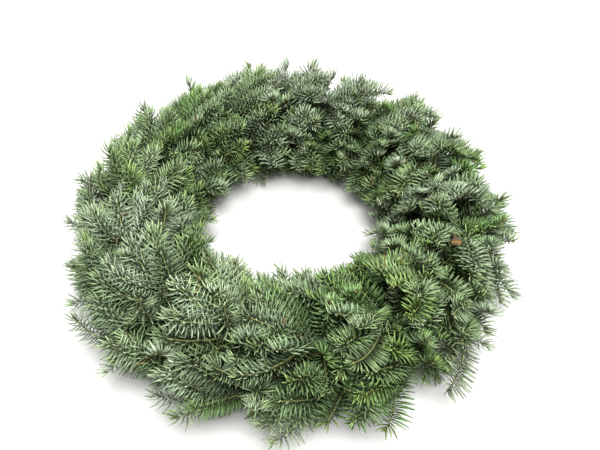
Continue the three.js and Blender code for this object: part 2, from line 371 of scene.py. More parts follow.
# %% The cut's place, and what would hide it
cut_spray = next(spray for spray in sprays.values() if spray["pruned"])
CUT_BACK = 0.02  # a share of the shoot, for the cut's direction
CUT_AT = cut_spray["main"](PRUNED["end"])
CUT_WAY = (CUT_AT - cut_spray["main"](PRUNED["end"] - CUT_BACK)).normalized()
CUT_CLEAR = 20  # no shoot comes nearer to the line that goes out from the cut
CUT_SIGHT = 30  # how long that line is


def hides_cut(path):
    """Whether a shoot crosses the space in front of the cut."""
    for i in range(STEPS // 2, STEPS + 1):
        offset = path(i / STEPS) - CUT_AT
        ahead = min(max(offset.dot(CUT_WAY), 0), CUT_SIGHT)
        if (offset - CUT_WAY * ahead).length < CUT_CLEAR:
            return True
    return False


print("the cut is", round(CUT_AT.z), "mm above the surface")

# %% [markdown]
# ## The shoots that fill the foliage
# The first pairs are those of the solids. A real branch has many more, at every depth.
# Rows at the surface close it, a thinner layer under them gives the eye something dark to look into,
# and short shoots deep inside hide the stems. Each row says where its shoots start, end and turn.
# The shoots underneath come last. They close what gaps are left between the sprays.

# %% The rows, and the shoots that they give
FILL_ROWS = [  # root, advance, reach, steepness, share of needles missing, turns in degrees
    (0.24, 0.62, 1.02, 0.3, 0, [-10]),
    (0.18, 0.36, 1.02, 0.1, 0, [-27, 23]),
    (0.30, 0.84, 0.90, 0.4, 0, [-34, 30]),
    (0.24, 0.56, 0.87, 0.3, 0, [-44, 38]),
    (0.15, 0.12, 0.85, 0, 0, [-16]),
    (0.20, 0.55, 0.70, -0.35, 0.3, [-36, 0, 36]),
    (0.10, 0.15, 0.64, -0.35, 0.2, [-28, 0, 28]),
    (0.10, 0.42, 0.48, -0.35, 0, [-38, -12, 14, 40]),
    (0.12, 0.85, 0.52, -0.35, 0, [-26, 2, 28]),
]
SLOT_ROWS = {  # low shoots on both sides of the ring, and more along the outer rim
    "outer": [(0.3, 0.75, 0.88, -0.35, 0, [-38, -58]), (0.24, 0.6, 0.84, 0, 0, [-34, -4, 26])],
    "top": [],
    "inner": [(0.3, 0.75, 0.88, -0.35, 0, [38, 58])],
}
CUT_ROW = (0.1, 0.62, 0.8, 0, 0, [-34, -12, 12, 34])  # round the bare stem of the pruned shoot
UNDER_ROW = (0.14, 0.3, 0.8, -0.15, 0.25, [-20, 20])
UNDER_RIM_ROW = (0.14, 0.85, 0.84, 0, 0.25, [-34, -8])
FLOW_VARY = 0.35  # how much more or less a spray's own shoots lean along the ring
TWIST_VARY = 9  # degrees, for all shoots of a spray together
TURN_VARY = 19  # degrees, for each shoot
TIP_VARY = 0.06  # of its reach
ADVANCE_VARY = 0.48  # of the spray's own lean along the ring
BOW_VARY = 14  # degrees, in the middle of the shoot
UNDER_TURN_VARY = 12
UNDER_ADVANCE_VARY = 0.2

for spray in sprays.values():
    slot = spray["slot"]
    rows = FILL_ROWS + SLOT_ROWS[slot["name"]] + ([CUT_ROW] if spray["pruned"] else [])
    flow = 1 + vary() * FLOW_VARY
    twist = vary() * TWIST_VARY
    for root, advance, reach, steep, thin, turns in rows:
        for turn in turns:
            turn = (turn + twist + vary() * TURN_VARY) * slot["fan"]
            tip = reach * spray["side_reach"] * (1 + vary() * TIP_VARY)
            advance_to = advance * flow + vary() * ADVANCE_VARY
            bow = vary() * BOW_VARY
            path = side_path(slot, spray, root, turn, advance_to, tip, steep=steep, bow=bow)
            if not hides_cut(path):
                spray["sides"].append((path, thin))

for spray in sprays.values():
    slot = spray["slot"]
    spray["under"] = []
    rows = [UNDER_ROW, UNDER_RIM_ROW] if slot["name"] == "outer" else [UNDER_ROW]
    for root, advance, reach, steep, thin, turns in rows:
        for turn in turns:
            turn = (turn + infill() * UNDER_TURN_VARY) * slot["fan"]
            tip = reach * (1 + infill() * TIP_VARY)
            advance_to = advance + infill() * UNDER_ADVANCE_VARY
            path = side_path(slot, spray, root, turn, advance_to, tip, steep=steep)
            if not hides_cut(path):
                spray["under"].append((path, thin))
shoot_count = sum(1 + len(spray["sides"] + spray["under"]) for spray in sprays.values())
print("they have", shoot_count, "shoots, without the forks")

# %% [markdown]
# ## Twigs as lines
# Geometry Nodes can read anything stored on the points of a line.
# So each shoot becomes a row of points that carry its thickness, which side is its upper one, how many
# needles are missing and how deep in the foliage it lies.

# %% Rows of points along a path
TWIG_TIP_RADIUS = 0.6
TWIG_ROOT_RADIUS = 1.3
NEEDLES_FROM = 18  # millimetres from the bundle's centre; nearer in, the stems are stripped for binding
NEEDLES_ALL_FROM = 36  # from here on no needle is missing
DARK_WITHIN = 32  # millimetres from the bundle's centre; the needles in here are the oldest, and get the darkest painted shade
# from here on out the needles get no painted shade of depth
LIGHT_BEYOND = 89
SKYWARD = 2.0  # how much a shoot's upper side turns to the sky, beside away from the bundle
NUDGE = 0.01  # a small step along a path, for its direction


def even(steps):
    """Shares from 0 to 1 in equal steps."""
    return [i / steps for i in range(steps + 1)]


def heading(path, t):
    """The direction of a path at a share of its length."""
    return (path(t + NUDGE) - path(t - NUDGE)).normalized()


def upper_side(point, along, roll):
    """The direction that a shoot's upper side faces: away from the stem bundle, rolled about the shoot."""
    turn = math.atan2(point.y, point.x)
    bundle = Vector((RING_RADIUS * math.cos(turn), RING_RADIUS * math.sin(turn), RING_HEIGHT))
    out = (point - bundle).normalized() + Vector((0, 0, SKYWARD))
    out = (out - along * out.dot(along)).normalized()
    return Matrix.Rotation(roll, 3, along) @ out


def shoot_rows(path, shares, root_radius, tip_radius, roll, bald=False, thin=0.0):
    """Rows of point, upper side, thickness, bareness and nearness to the surface along a path."""
    rows = []
    for t in shares:
        point = path(t)
        thick = root_radius + (tip_radius - root_radius) * min(max(t, 0), 1)
        section = Vector((math.hypot(point.x, point.y) - RING_RADIUS, point.z - RING_HEIGHT))
        bare = (NEEDLES_ALL_FROM - section.length) / (NEEDLES_ALL_FROM - NEEDLES_FROM)
        if bald or t < 0:
            bare = 1
        outward = min(max((section.length - DARK_WITHIN) / (LIGHT_BEYOND - DARK_WITHIN), 0), 1)
        upper = upper_side(point, heading(path, t), roll)
        rows.append((point, upper, thick * MM, min(max(bare, thin), 1), outward))
    return rows


print("a whole shoot has", len(even(STEPS)), "points")

# %% [markdown]
# ## What makes each shoot its own
# A branch is waxier or fresher than the next, and so, less so, are its shoots. A few shoots have their
# needles parted to both sides, so that the yellow-brown twig shows. The main shoot forks near its end.
# A texture could vary the colour, but these follow the twigs, so they are drawn once for each shoot.

# %% The lines of a spray
STEM_STEPS = 3
FORK_STEPS = 4
FORK_SPREAD = 27  # millimetres from a forked shoot's tip to the line of its parent
FORK_SPREAD_VARY = 6
FORK_ROOT = 0.6  # where on its parent a fork starts
FORK_ROOT_VARY = 0.06
FORK_END = 0.94  # where beside its parent it ends
FORK_END_VARY = 0.07
FORK_TRIM = 1.2  # how much further back the forks of a stray end, for each share that it reaches beyond
FORK_THICKER = 1.3  # at its root than at its tip
MAIN_ROLL = 0.5  # radians
SIDE_ROLL = 0.6
PARTED_SHARE = 0.1  # shoots whose needles lie parted, so that the twig shows between them
PARTED_REST = 0.06  # how far those of the others are
PARTED_REST_VARY = 0.1
SPRAY_WAX = 0.55  # the bloom of a spray, from none at 0 to full at 1
SPRAY_WAX_VARY = 0.45
SPRAY_FRESH = -0.45  # most sprays have no fresh growth, and a few have much
SPRAY_FRESH_VARY = 0.9
WAX_VARY = 0.45  # how far its shoots differ from it
FRESH_VARY = 0.3
VIGOUR_VARY = 0.12  # of the needles' length
TONE_VARY = 0.23  # of their brightness
STANCE = 0.96  # how far the needles stand off the twig
STANCE_VARY = 0.1
LINE_DATA = (
    "upper", "thick", "bare", "outward", "wax", "fresh", "phase", "vigour", "tone", "parted", "stance",
)


def fork_path(path, root, end, roll, spread):
    """The path of a short shoot that forks off another, in the plane of the branch."""
    along = heading(path, root)
    sideways = along.cross(upper_side(path(root), along, roll))

    def fork(t):
        return path(root + (end - root) * t) + sideways * spread * rise(t)

    return fork


def spray_shoots(spray):
    """All shoots of a spray, each as its rows, how parted it is and where it draws from."""
    pruned = spray["pruned"]
    end = PRUNED["end"] if pruned else 1
    shares = [-1 + i / STEM_STEPS for i in range(STEM_STEPS)] + [end * share for share in even(STEPS)]
    main_roll = vary() * MAIN_ROLL
    tip_radius = STEM_RADIUS if pruned else TWIG_TIP_RADIUS
    rows = shoot_rows(spray["main"], shares, STEM_RADIUS, tip_radius, main_roll, bald=pruned)
    shoots = [(rows, 0, vary)]
    for path, thin in spray["sides"]:
        parted = 1 if vary() < 2 * PARTED_SHARE - 1 else PARTED_REST + vary() * PARTED_REST_VARY
        roll = vary() * SIDE_ROLL
        rows = shoot_rows(path, even(STEPS), TWIG_ROOT_RADIUS, TWIG_TIP_RADIUS, roll, thin=thin)
        shoots.append((rows, parted, vary))
    fork_sides = () if pruned else (-1, 1)
    for side in fork_sides:
        spread = side * (FORK_SPREAD + vary() * FORK_SPREAD_VARY)
        end_at = FORK_END + vary() * FORK_END_VARY - FORK_TRIM * max(spray["reach"] - 1, 0)
        root = FORK_ROOT + vary() * FORK_ROOT_VARY
        fork = fork_path(spray["main"], root, end_at, main_roll, spread)
        root_radius = TWIG_TIP_RADIUS * FORK_THICKER
        rows = shoot_rows(fork, even(FORK_STEPS), root_radius, TWIG_TIP_RADIUS, main_roll)
        shoots.append((rows, 0, vary))
    for path, thin in spray["under"]:
        rows = shoot_rows(path, even(STEPS), TWIG_ROOT_RADIUS, TWIG_TIP_RADIUS, 0, thin=thin)
        shoots.append((rows, PARTED_REST, infill))
    return shoots


def spray_lines(name, spray):
    """A mesh of lines, one for each shoot of a spray, with what the nodes need to know."""
    spray_wax = SPRAY_WAX + SPRAY_WAX_VARY * vary()
    spray_fresh = max(0.0, vary() * SPRAY_FRESH_VARY + SPRAY_FRESH)
    points, edges, data = [], [], []
    for rows, parted, source in spray_shoots(spray):
        wax = min(max(spray_wax + source() * WAX_VARY, 0), 1)
        fresh = min(max(spray_fresh + source() * FRESH_VARY, 0), 1)
        phase = source() * math.pi
        vigour = 1 + source() * VIGOUR_VARY
        tone = 1 + source() * TONE_VARY
        stance = STANCE + source() * STANCE_VARY
        edges += [(i, i + 1) for i in range(len(points), len(points) + len(rows) - 1)]
        points += [row[0] for row in rows]
        data += [(*row[1:], wax, fresh, phase, vigour, tone, parted, stance) for row in rows]
    mesh = new_mesh(name, points, edges=edges, origin=floor_centre)
    for label, values in zip(LINE_DATA, zip(*data)):
        store(mesh, label, values)
    return mesh


print("each point of a line carries", len(LINE_DATA), "things")

# %% [markdown]
# ## One needle
# A noble fir needle is about 20 mm long and 1.5 mm wide, blunt, and bent like a hockey stick towards the
# shoot's tip. It has three sides here: a flat lower one, which carries the pale bands, and two upper ones.
# Two rings of three corners and a short blunt edge are enough, because it is repeated so often.
# The old needles in the dark inside are plain spikes. There, one spike stands for two needles.

# %% The needles' meshes
NEEDLE_LENGTH = 20
NEEDLE_RINGS = [(0, 0.55), (0.55, 1.0)]  # share of the length, and share of the half width
NEEDLE_END = 0.45  # half width of the blunt end, as a share
NEEDLE_HALF_WIDTH = 1.0  # wider than in life, so that a needle shows at the size of the picture
OLD_HALF_WIDTH = 1.5  # two old needles that lie against each other are one spike
NEEDLE_HALF_DEPTH = 0.62
NEEDLE_BEND = 6.5  # how far the needle's end lies from a straight line
UNDERSIDE = -0.3  # a face that looks further to -X than this is the lower one
NEEDLE_FACES = [
    (2, 1, 0), (0, 1, 4, 3), (1, 2, 5, 4), (2, 0, 3, 5),
    (3, 4, 7, 6), (4, 5, 7), (5, 3, 6), (5, 6, 7),
]
SPIKE_FACES = [(2, 1, 0), (0, 1, 3), (1, 2, 3), (2, 0, 3)]


def needle_mesh():
    """A needle that stands on the origin along +Z, bends towards +X and has its lower side on -X."""
    points = []
    for share, width in NEEDLE_RINGS:
        x = NEEDLE_BEND * (share * share - share * 0.5)
        z = NEEDLE_LENGTH * share
        half = NEEDLE_HALF_WIDTH * width
        depth = NEEDLE_HALF_DEPTH * width
        points += [(x - depth, half, z), (x - depth, -half, z), (x + depth, 0, z)]
    blunt = NEEDLE_HALF_WIDTH * NEEDLE_END
    points += [(NEEDLE_BEND * 0.5, y, NEEDLE_LENGTH) for y in (blunt, -blunt)]
    mesh = new_mesh("needle", points, faces=NEEDLE_FACES)
    layer = mesh.uv_layers.new(name="needle_uv")
    for face in mesh.polygons:
        under = face.normal.x < UNDERSIDE
        for loop in face.loop_indices:
            x, y, z = mesh.vertices[mesh.loops[loop].vertex_index].co / MM
            across = 0.5 + 0.5 * y / NEEDLE_HALF_WIDTH
            layer.data[loop].uv = (across if under else across + 1, z / NEEDLE_LENGTH)
    mesh.shade_smooth()
    return mesh


def old_needle_mesh():
    """A needle of the dark inside: a slim spike of four triangles."""
    half, depth = OLD_HALF_WIDTH, NEEDLE_HALF_DEPTH
    points = [(-depth, half, 0), (-depth, -half, 0), (depth, 0, 0), (NEEDLE_BEND / 3, 0, NEEDLE_LENGTH)]
    mesh = new_mesh("old_needle", points, faces=SPIKE_FACES)
    layer = mesh.uv_layers.new(name="needle_uv")
    for loop, corner in zip(layer.data, mesh.loops):
        loop.uv = (1.5, 0.0 if corner.vertex_index < 3 else 1.0)
    mesh.shade_smooth()
    return mesh


needle = new_object("needle_pattern", needle_mesh())
old_needle = new_object("old_needle_pattern", old_needle_mesh())
print("a needle has", triangles(needle.data), "triangles and an old one", triangles(old_needle.data))

# %% [markdown]
# ## One bud
# Each shoot ends in a blunt, resinous bud of three or four millimetres, half hidden by its needles.
# A stretched sphere would do, but three rings and a point have the egg's shape with far fewer faces.

# %% The bud's mesh
BUD_RADIUS = 1.3
BUD_LENGTH = 3.6
BUD_RINGS = [(0, 0.6), (0.35, 1.0), (0.8, 0.6)]
BUD_SIDES = 5


def bud_mesh():
    """A blunt egg-shaped bud on the origin, along +Z."""
    points = []
    for share, width in BUD_RINGS:
        for i in range(BUD_SIDES):
            turn = math.tau * i / BUD_SIDES
            here = BUD_RADIUS * width
            points.append((here * math.cos(turn), here * math.sin(turn), BUD_LENGTH * share))
    points.append((0, 0, BUD_LENGTH))
    last = (len(BUD_RINGS) - 1) * BUD_SIDES
    closed = [tuple(range(BUD_SIDES))[::-1]]
    pointed = [(last + i, last + (i + 1) % BUD_SIDES, len(points) - 1) for i in range(BUD_SIDES)]
    mesh = new_mesh("bud", points, faces=closed + tube_faces(len(BUD_RINGS), BUD_SIDES) + pointed)
    mesh.shade_smooth()
    return mesh


bud = new_object("bud_pattern", bud_mesh())
print("a bud has", triangles(bud.data), "triangles")

# %% [markdown]
# ## The needles' finish
# Fir needles are waxy: dark green leaf under a pale blue-grey bloom, thickest in bands on the underside.
# Young needles are a yellower green, the old ones are darker, partly with painted shade, those deep inside
# are darker still with painted shade, and a few dry ones turn brown.
# A picture of needles could be laid on, but the colour here reads what each shoot and needle has drawn,
# and the needle's own UV map puts the bands along it, so no two twigs are quite the same green.

# %% Waxy needles
NEW_GROWTH = 16  # millimetres from the bud in which the needles are the yellowest
YOUNG = 28  # millimetres from the bud up to which the growth is this year's
OLD = 68  # and from where on it is the old growth, shorter, sparser and darker, partly in its own colour, partly with painted shade
WORN_CURVE = 1.7  # above 1, the wax and the light fall off sooner on the way in
WAX_EVERYWHERE = 0.45
WAX_IN_BANDS = 0.3
DRY_SHARE = 0.0025
NEEDLE_SHADES = {  # what it goes by, between which two values of that, and from what to what
    "new": ("to_tip", (0, NEW_GROWTH * MM), (0.35, 0)),
    "unworn_and_sheen": ("deep", (0, 1), (0.1, 1.4)),  # sheltered old needles have lost their wax; the pale wax also paints a sheen on the outer needles, and its lack a greener shade inside
    "depth": ("lot", (0, 1), (0.36, 1.06)),  # each needle's own brightness, drawn at random, which also paints the shade of the needles that lie over it
    "foot": ("along", (0, 0.5), (0.2, 1)),  # painted shade where it leaves the twig, among the crowded bases of the needles
    # painted shade, the deeper the further into the foliage a needle lies
    "inside": ("deep", (0, 1), (0.6, 1.04)),
    # older needles are darker, partly their own colour, partly painted shade towards the bundle, where the
    # shoots overlap
    "old": ("to_tip", (YOUNG * MM, OLD * MM), (1, 0.58)),
}


def waxy_needles():
    """Waxed leaf. It gives the eye a half-matt skin, pale on the bands and with a painted sheen on the
    outside, and deep green where worn and in the painted shade inside.
    """
    made, tree, shader = new_material("waxy_fir_needle")
    known = {}
    for label in ("wax", "fresh", "lot", "to_tip", "outward", "tone"):
        known[label] = add(tree, "ShaderNodeAttribute", {"attribute_name": label}).outputs["Fac"]
    uv = add(tree, "ShaderNodeUVMap", {"uv_map": "needle_uv"})
    spot = add(tree, "ShaderNodeSeparateXYZ", None, (uv,)).outputs
    across, known["along"] = spot["X"], spot["Y"]
    known["deep"] = add(tree, MATH, "POWER", (known["outward"], WORN_CURVE))
    shades = {}
    for label, (source, (low, high), (first, last)) in NEEDLE_SHADES.items():
        ends = {"From Min": low, "From Max": high, "To Min": first, "To Max": last}
        shades[label] = add(tree, RANGE, None, {"Value": known[source], **ends})

    fresher = add(tree, MATH, {"operation": "ADD", "use_clamp": True}, (known["fresh"], shades["new"]))
    leaf = add(tree, MIX, COLOURS, (fresher, linear("#628547"), linear("#95b256")))
    # The map is 0 to 1 wide over the underside, with a band on each side of its middle, and 1 to 2
    # over the rest.
    under = add(tree, MATH, "LESS_THAN", (across, 1.0))
    wave = add(tree, MATH, "SINE", (add(tree, MATH, "MULTIPLY", (across, math.tau)),))
    band = add(tree, MATH, "MULTIPLY", (add(tree, MATH, "ABSOLUTE", (wave,)), under))
    cover = add(tree, MATH, "MULTIPLY_ADD", (band, WAX_IN_BANDS, WAX_EVERYWHERE))
    # the wax left on, raised on the outside as a painted sheen and lowered inside as a greener painted
    # shade
    wax_left_and_sheen = add(tree, MATH, "MULTIPLY", (cover, shades["unworn_and_sheen"]))
    waxed = add(tree, MATH, {"operation": "MULTIPLY", "use_clamp": True}, (wax_left_and_sheen, known["wax"]))
    bloom = add(tree, MIX, COLOURS, (waxed, leaf, linear("#aebba4")))
    # Then the brightness: the needle's own and its shoot's, partly painted shade of the needles over it,
    # times the painted shade of its place deep in the foliage and at its foot, and the darkening of age,
    # which is partly painted shade too.
    tone_and_painted_depth = add(tree, MATH, "MULTIPLY", (shades["depth"], known["tone"]))
    # painted shade deep inside, times the old growth's darkening, which is partly painted shade
    age = add(tree, MATH, "MULTIPLY", (shades["inside"], shades["old"]))
    painted_shade_and_age = add(tree, MATH, "MULTIPLY", (age, shades["foot"]))
    strength = add(tree, MATH, "MULTIPLY", (tone_and_painted_depth, painted_shade_and_age))
    shaded = add(tree, VECTOR, "SCALE", (bloom, strength))
    dry = add(tree, MATH, "GREATER_THAN", (known["lot"], 1 - DRY_SHARE))
    colour = add(tree, MIX, COLOURS, (dry, shaded, linear("#7a6236")))
    feed(tree, shader, {"Base Color": colour, "Roughness": 0.52, "IOR": 1.45})
    return made


NEEDLE_FINISH = waxy_needles()
print(NEEDLE_FINISH.name, "has", len(NEEDLE_FINISH.node_tree.nodes), "nodes")

# %% [markdown]
# ## The twigs' and buds' finishes
# This year's twigs are olive and nearly smooth. Older wood is thicker and has turned to grey-brown bark.
# So the bark goes by the twig's own thickness, with a fine noise for its ridges.
# A bud is a pack of small scales in resin, olive on most shoots and red-brown on the ripest.
# Both patterns lie on the object's own coordinates, because neither mesh needs a map for them.

# %% Bark and bud scales
BARK_RIDGES = 900  # to the metre, 1.1 mm apart: twice as coarse as in life, so that they show
BARK_RELIEF = 0.3  # millimetres
OLD_WOOD_RADIUS = 2.4  # of a twig that is bark all over
BUD_SCALES = 1100  # to the metre, 0.9 mm each as in life
RIPE_TONES = (1.1, 1.28)  # from and to which a shoot's bud ripens


def twig_bark():
    """Bark. It gives the eye a dull, finely ridged skin that browns towards the thick end."""
    made, tree, shader = new_material("fir_twig_bark")
    position = add(tree, "ShaderNodeTexCoord").outputs["Object"]
    grain = add(tree, "ShaderNodeTexNoise", None, {"Vector": position, "Scale": BARK_RIDGES, "Detail": 3})
    young = add(tree, MIX, COLOURS, (grain, linear("#5f6a38"), linear("#878b4e")))
    thick = add(tree, "ShaderNodeAttribute", {"attribute_name": "thick"}).outputs["Fac"]
    age = add(tree, RANGE, None, (thick, TWIG_ROOT_RADIUS * MM, OLD_WOOD_RADIUS * MM))
    colour = add(tree, MIX, COLOURS, (age, young, linear("#574736")))
    relief = {"Strength": 0.4, "Distance": BARK_RELIEF * MM, "Height": grain}
    bump = add(tree, "ShaderNodeBump", None, relief)
    feed(tree, shader, {"Base Color": colour, "Normal": bump, "Roughness": 0.7})
    return made


def bud_scales():
    """Scales in resin. They give the eye a small bright dot with a half-gloss at the end of a shoot."""
    made, tree, shader = new_material("resinous_bud_scale")
    position = add(tree, "ShaderNodeTexCoord").outputs["Object"]
    scales = add(tree, "ShaderNodeTexVoronoi", None, {"Vector": position, "Scale": BUD_SCALES})
    tone = add(tree, "ShaderNodeAttribute", {"attribute_name": "tone"}).outputs["Fac"]
    ripe = add(tree, RANGE, None, (tone, *RIPE_TONES))
    resin = add(tree, MIX, COLOURS, (ripe, linear("#8a9a4a"), linear("#a8713a")))
    colour = add(tree, MIX, COLOURS, (scales, resin, linear("#6b5a35")))
    feed(tree, shader, {"Base Color": colour, "Roughness": 0.45})
    return made


BARK_FINISH = twig_bark()
BUD_FINISH = bud_scales()
print("finishes:", [material.name for material in (NEEDLE_FINISH, BARK_FINISH, BUD_FINISH)])

# %% [markdown]
# ## Growing the needles: the spots
# Needles stand on the twig in a spiral, each 137.5 degrees on from the one before.
# Placing them in Python would be slow, for tens of thousands. Geometry Nodes do it in a few seconds.
# The tree first sets even spots along each line, numbers them, and notes how far each is from the bud.

# %% The tree, and a spot for each needle
GROW, given = new_tree(
    "grow_needles",
    {
        "Lines": "Geometry", "Needle": "Object", "Old Needle": "Object", "Bud": "Object",
        "Needle Finish": "Material", "Bark Finish": "Material", "Bud Finish": "Material",
        "Spacing": "Float", "Spread": "Float", "Seed": "Int",
    },
    "Spray",
)
STORED = {"data_type": "FLOAT", "domain": "POINT"}
NEEDLE_DRAWS = {  # what each needle draws for itself, from low to high
    "lot": (0, 1),
    "turn": (-0.035, 0.035),
    "lean": (-0.03, 0.03),
    "length": (0.94, 1.05),
    "luck": (0, 1),
}

twig_lines = add(GROW, "GeometryNodeMeshToCurve", None, {"Mesh": given["Lines"]})
spaced = {"Curve": twig_lines, "Length": given["Spacing"]}
marked = add(GROW, "GeometryNodeResampleCurve", {"mode": "LENGTH"}, spaced)
spline = add(GROW, "GeometryNodeSplineParameter").outputs
share_left = add(GROW, MATH, "SUBTRACT", (1, spline["Factor"]))
left = add(GROW, MATH, "MULTIPLY", (share_left, add(GROW, "GeometryNodeSplineLength")))
for label, value in (("order", spline["Index"]), ("to_tip", left)):
    note = {"Geometry": marked, "Name": label, "Value": value}
    marked = add(GROW, "GeometryNodeStoreNamedAttribute", STORED, note)
spots = add(GROW, "GeometryNodeCurveToPoints", {"mode": "EVALUATED"}, {"Curve": marked}).outputs

drawn = {}
for offset, (label, (low, high)) in enumerate(NEEDLE_DRAWS.items(), 1):
    seed = add(GROW, "FunctionNodeIntegerMath", "ADD", (given["Seed"], offset))
    drawn[label] = add(GROW, "FunctionNodeRandomValue", NUMBERS, {"Min": low, "Max": high, "Seed": seed})
note = {"Geometry": spots["Points"], "Name": "lot", "Value": drawn["lot"]}
needle_spots = add(GROW, "GeometryNodeStoreNamedAttribute", STORED, note)

read = {}
READ_NUMBERS = ("thick", "bare", "outward", "phase", "vigour", "parted", "stance", "order", "to_tip")
for label in ("upper", *READ_NUMBERS):
    kind = {"data_type": "FLOAT_VECTOR"} if label == "upper" else NUMBERS
    read[label] = add(GROW, "GeometryNodeInputNamedAttribute", kind, {"Name": label})
print("the tree has", len(GROW.nodes), "nodes so far")

# %% [markdown]
# ## Growing the needles: round the twig
# On noble fir the needles of the underside twist up to the sides, so the twig is bare below.
# The spiral's angle is therefore squeezed towards the upper side, and swept to both sides of it.
# On a parted shoot all needles lie out flat instead, and the twig shows on top as well.

# %% Which way each needle leaves the twig
GOLDEN_ANGLE = math.radians(137.508)
SWEPT = 0.62  # below 1, more of the needles lie to the sides than on top
FLAT_ANGLE = math.radians(78)  # from the upper side, where the needles of a flat, parted shoot begin
FLAT_RANGE = math.radians(26)


def sum_of(first, part, second, other_part):
    """A part of one direction and a part of another, added together."""
    scaled = add(GROW, VECTOR, "SCALE", (first, part)), add(GROW, VECTOR, "SCALE", (second, other_part))
    return add(GROW, VECTOR, "ADD", scaled)


forward = add(GROW, VECTOR, "NORMALIZE", (spots["Tangent"],))
crossing = add(GROW, VECTOR, "CROSS_PRODUCT", (forward, read["upper"]))
sideways = add(GROW, VECTOR, "NORMALIZE", (crossing,))
upper = add(GROW, VECTOR, "CROSS_PRODUCT", (sideways, forward))

spiral = add(GROW, MATH, "MULTIPLY_ADD", (read["order"], GOLDEN_ANGLE, read["phase"]))
round_twig = add(GROW, MATH, "WRAP", (spiral, math.pi, -math.pi))
off_top = add(GROW, MATH, "DIVIDE", (add(GROW, MATH, "ABSOLUTE", (round_twig,)), math.pi))
swept = add(GROW, MATH, "POWER", (off_top, SWEPT))
widest = add(GROW, MATH, "MULTIPLY", (given["Spread"], math.pi))
brushed = add(GROW, MATH, "MULTIPLY", (swept, widest))
flat = add(GROW, MATH, "MULTIPLY_ADD", (off_top, FLAT_RANGE, FLAT_ANGLE))
flatter = add(GROW, MATH, "MULTIPLY", (read["parted"], add(GROW, MATH, "SUBTRACT", (flat, brushed))))
angle = add(GROW, MATH, "ADD", (brushed, flatter))
side = add(GROW, MATH, "SIGN", (round_twig,))
own_angle = add(GROW, MATH, "MULTIPLY_ADD", (angle, side, drawn["turn"]))
upward = add(GROW, MATH, "COSINE", (own_angle,))
radial = sum_of(upper, upward, sideways, add(GROW, MATH, "SINE", (own_angle,)))
print("the tree has", len(GROW.nodes), "nodes so far")

# %% [markdown]
# ## Growing the needles: lean and length
# The upper needles lean forward over the twig, and those of the sides stand off it. Round the bud they all
# lean in. On top they are shorter, which makes the shoot flat. So are the old ones and those at the tip.
# Each of these is one smooth step from one value to another, so they are kept together in a table.

# %% How each needle leans and bends, and how long it is
TIP_CROWN = 14  # millimetres from the bud in which the needles lean in over it
NEEDLE_CHANGES = {  # what it goes by, between which two values of that, and from what to what
    "leaning": ("upward", (0, 1), (math.radians(90), math.radians(70))),
    "flattened": ("upward", (0, 1), (1, 0.68)),
    "crowned": ("to_tip", (0, TIP_CROWN * MM), (0.25, 1)),
    "tip_length": ("to_tip", (0, TIP_CROWN * MM), (0.78, 1)),
    "old_length": ("to_tip", (YOUNG * MM, OLD * MM), (1, 0.8)),
    "shed": ("to_tip", (YOUNG * MM, OLD * MM), (0, 0.35)),
}
LIFT = 0.22  # how much each needle turns up from where it leaves the twig
BEND_FORWARD = 0.75  # the directions that a needle bends in, and how much of each
BEND_UP = 0.8

changed = {}
for label, (source, (low, high), (first, last)) in NEEDLE_CHANGES.items():
    ends = {"From Min": low, "From Max": high, "To Min": first, "To Max": last}
    goes_by = upward if source == "upward" else read[source]
    changed[label] = add(GROW, RANGE, {"interpolation_type": "SMOOTHSTEP"}, {"Value": goes_by, **ends})

stance = add(GROW, MATH, "MULTIPLY", (changed["leaning"], read["stance"]))
crown = add(GROW, MATH, "ADD", (changed["crowned"], drawn["lean"]))
lean = add(GROW, MATH, "MULTIPLY", (stance, crown))
leaving = sum_of(forward, add(GROW, MATH, "COSINE", (lean,)), radial, add(GROW, MATH, "SINE", (lean,)))
raised = add(GROW, VECTOR, "ADD", (leaving, add(GROW, VECTOR, "SCALE", (upper, LIFT))))
points_to = add(GROW, VECTOR, "NORMALIZE", (raised,))
bends_to = sum_of(forward, BEND_FORWARD, upper, BEND_UP)
axes = {"primary_axis": "Z", "secondary_axis": "X"}
turned = add(GROW, "FunctionNodeAxesToRotation", axes, (points_to, bends_to))

by_age = add(GROW, MATH, "MULTIPLY", (changed["old_length"], changed["tip_length"]))
by_place = add(GROW, MATH, "MULTIPLY", (read["vigour"], changed["flattened"]))
by_chance = add(GROW, MATH, "MULTIPLY", (by_place, drawn["length"]))
length = add(GROW, MATH, "MULTIPLY", (by_age, by_chance))
size = add(GROW, "ShaderNodeCombineXYZ", None, (1.0, 1.0, length))
print("the tree has", len(GROW.nodes), "nodes so far")

# %% [markdown]
# ## Growing the needles: needles, twigs and buds
# The needle is now set on its spots, or the old spike where the foliage is dark, and left out where it has
# fallen. A twig is a circle drawn along the line, as thick as the line says, and a bud closes its end.
# What would sink into the table is pressed up against it, as on a real wreath that rests on its shoots.
# Each of the three is made real and gets its finish, because instances are lost when a model is exported.

# %% Needles, twigs and buds
OLD_NEEDLES_WITHIN = 0.5  # share of the way out, up to which a plain spike does for a needle
TWIG_SIDES = 5
BUDS_UNDER = 0.5  # share of needles missing, above which a shoot has no bud either
PRESSED = 6 * MM  # the height under which foliage is pressed up

